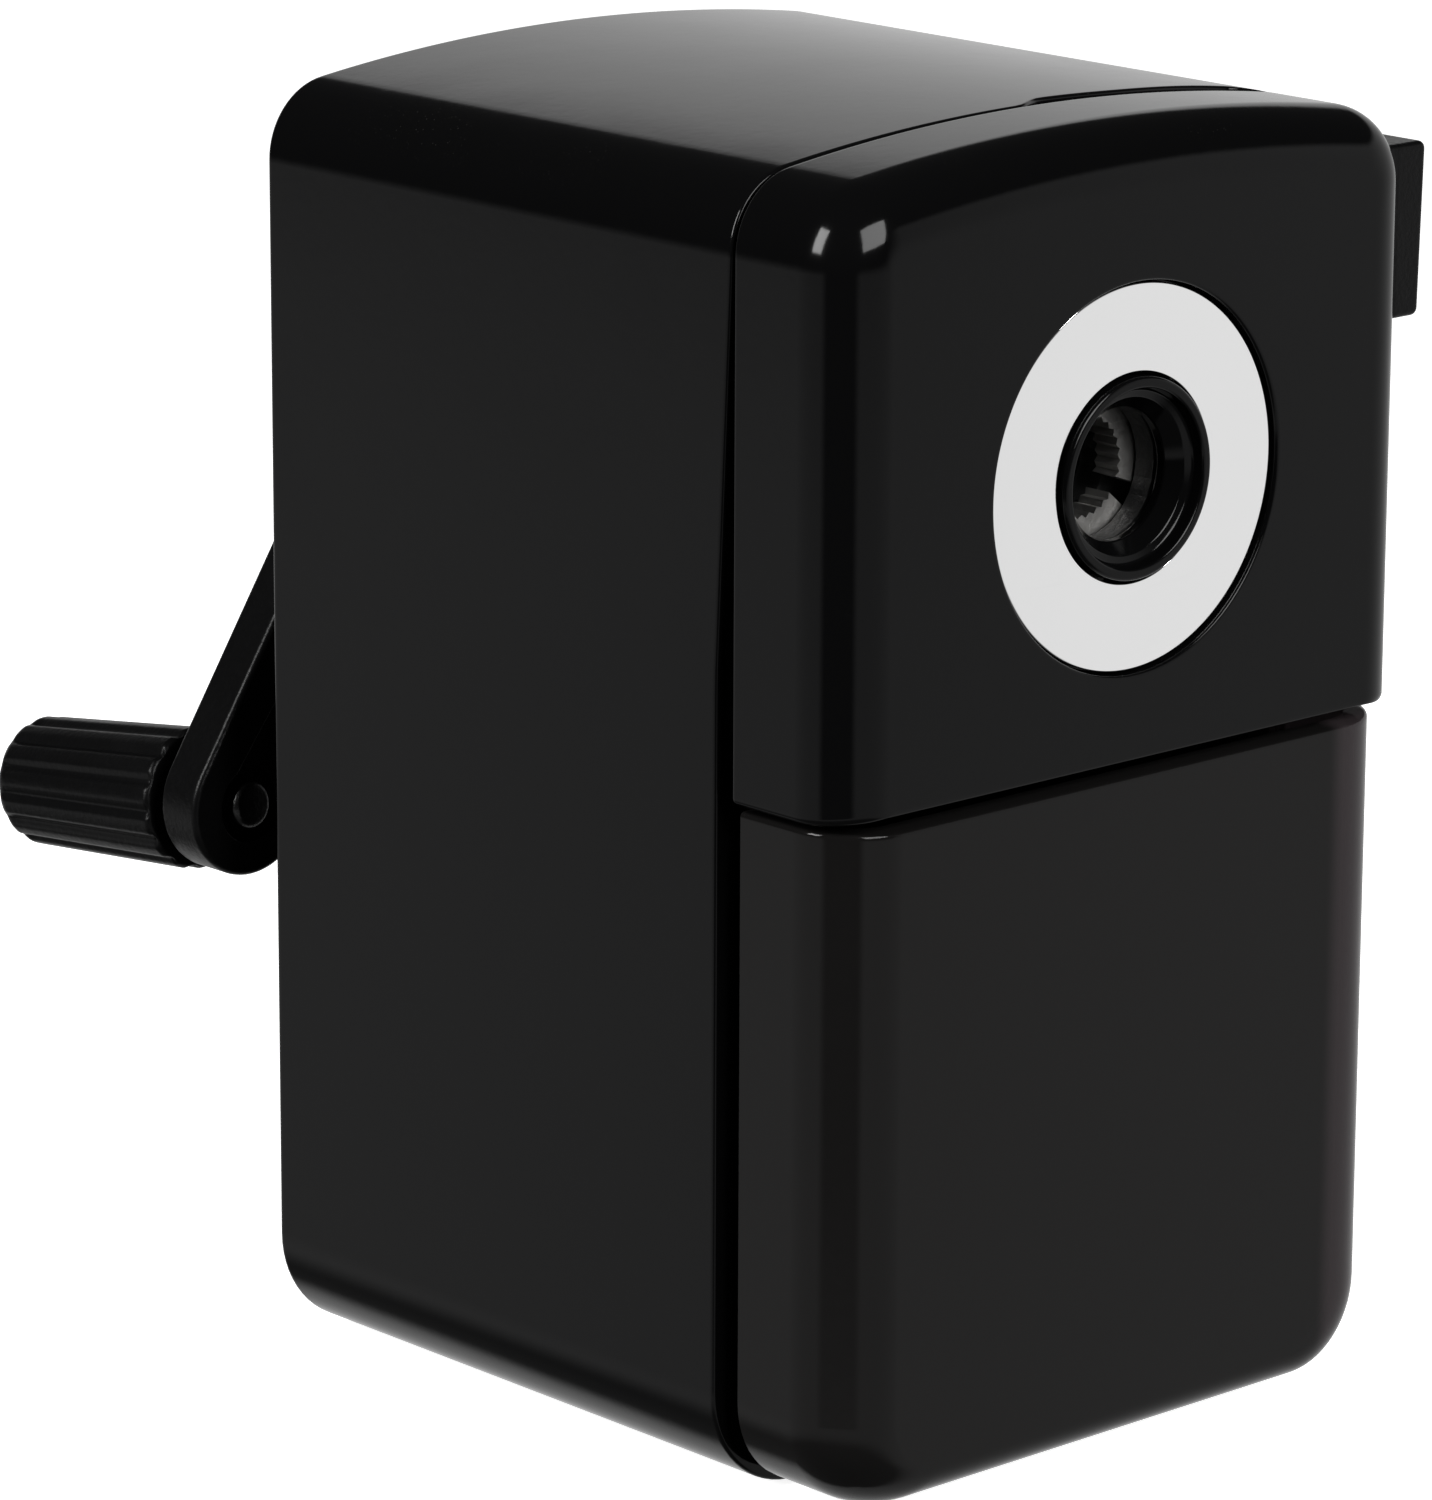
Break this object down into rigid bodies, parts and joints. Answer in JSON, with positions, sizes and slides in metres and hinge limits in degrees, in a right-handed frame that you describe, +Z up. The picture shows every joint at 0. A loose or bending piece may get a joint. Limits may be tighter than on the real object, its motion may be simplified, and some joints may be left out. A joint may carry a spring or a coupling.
{
  "type": "crank pencil sharpener",
  "caption": "Desk pencil sharpener with a rear hand crank, spring-fed pull-out head with clamp jaws and side release, helical cutter and front shavings drawer.",
  "frame": {"origin": "middle of the flat underside of the case, between its side walls and halfway along its depth", "axes": "+Z up, -Y towards the front, where the pencil goes in, +X to the right as seen from the front"},
  "size_m": [0.0673, 0.0951, 0.1],
  "materials": {
    "black_gloss": "polished black moulding",
    "black_satin": "satin black moulding",
    "black_matte": "plain black moulding",
    "grey_plastic": "unpainted grey moulding",
    "smoke_plastic": "dark smoke-tinted clear moulding",
    "mirror_steel": "mirror-polished",
    "steel": "plain steel",
    "tool_steel": "ground tool steel",
    "zinc": "die-cast zinc alloy"
  },
  "bodies": {
    "case": {"body_shell": "black_gloss", "mechanism_frame": "black_matte", "ring_gear": "grey_plastic", "rear_bearing": "grey_plastic", "frame_screw_1": "steel", "frame_screw_2": "steel", "frame_screw_3": "steel", "frame_screw_4": "steel"},
    "feed_head": {"head_cover": "black_gloss", "chuck_plate": "black_matte", "trim_ring": "mirror_steel", "entry_bezel": "black_gloss", "lever_spring": "steel", "guide_rod_left": "steel", "guide_rod_right": "steel", "rod_clip_left": "steel", "rod_clip_right": "steel", "return_spring_left": "steel", "return_spring_right": "steel", "plate_screw_1": "steel", "plate_screw_2": "steel", "plate_screw_3": "steel", "plate_screw_4": "steel"},
    "lever": {"release_lever": "black_satin"},
    "cam": {"cam_ring": "black_matte"},
    "jaw_a": {"clamp_jaw_1": "steel"},
    "jaw_b": {"clamp_jaw_2": "steel"},
    "jaw_c": {"clamp_jaw_3": "steel"},
    "rotor": {"cutter_carrier": "zinc", "cutter_pin": "steel", "drive_shaft": "steel", "thrust_washer": "steel", "crank_arm": "black_satin", "crank_screw": "steel", "handle_pin": "steel"},
    "cutter": {"planet_gear": "zinc", "helical_cutter": "tool_steel"},
    "knob": {"crank_knob": "black_satin"},
    "drawer": {"shavings_drawer": "smoke_plastic"}
  },
  "joints": [
    {"name": "crank_turn", "type": "hinge", "parent": "case", "child": "rotor", "pos_m": [0, 0, 0.0743], "axis": [0, 1, 0], "continuous": true},
    {"name": "cutter_spin", "type": "hinge", "parent": "rotor", "child": "cutter", "pos_m": [0.00735, -0.0173, 0.06813], "axis": [-0.1243, 0.9867, 0.1043], "continuous": true},
    {"name": "knob_spin", "type": "hinge", "parent": "rotor", "child": "knob", "pos_m": [-0.02558, 0.0322, 0.04061], "axis": [-0.0758, 0.9921, -0.0998], "continuous": true},
    {"name": "head_pull", "type": "slide", "parent": "case", "child": "feed_head", "axis": [0, -1, 0], "range_m": [0, 0.022], "stiffness_N_per_m": 150, "springref_m": -0.02, "deforming": ["return_spring_left", "return_spring_right"]},
    {"name": "lever_press", "type": "slide", "parent": "feed_head", "child": "lever", "axis": [-1, 0, 0], "range_m": [0, 0.0036], "stiffness_N_per_m": 400, "springref_m": -0.004, "deforming": ["lever_spring"]},
    {"name": "cam_turn", "type": "hinge", "parent": "feed_head", "child": "cam", "pos_m": [0, -0.0333, 0.0743], "axis": [0, 1, 0], "range_deg": [-16.5, 0]},
    {"name": "jaw_a_open", "type": "slide", "parent": "feed_head", "child": "jaw_a", "axis": [0.866, 0, 0.5], "range_m": [0, 0.00142]},
    {"name": "jaw_b_open", "type": "slide", "parent": "feed_head", "child": "jaw_b", "axis": [0, 0, -1], "range_m": [0, 0.00142]},
    {"name": "jaw_c_open", "type": "slide", "parent": "feed_head", "child": "jaw_c", "axis": [-0.866, 0, 0.5], "range_m": [0, 0.00142]},
    {"name": "drawer_pull", "type": "slide", "parent": "case", "child": "drawer", "axis": [0, -1, 0], "range_m": [0, 0.05]}
  ],
  "couplings": [
    {"joint": "cutter_spin", "follows": "crank_turn", "ratio": -3},
    {"joint": "cam_turn", "follows": "lever_press", "rad_per_m": -77.57},
    {"joint": "jaw_a_open", "follows": "lever_press", "ratio": 0.38889},
    {"joint": "jaw_b_open", "follows": "lever_press", "ratio": 0.38889},
    {"joint": "jaw_c_open", "follows": "lever_press", "ratio": 0.38889}
  ]
}
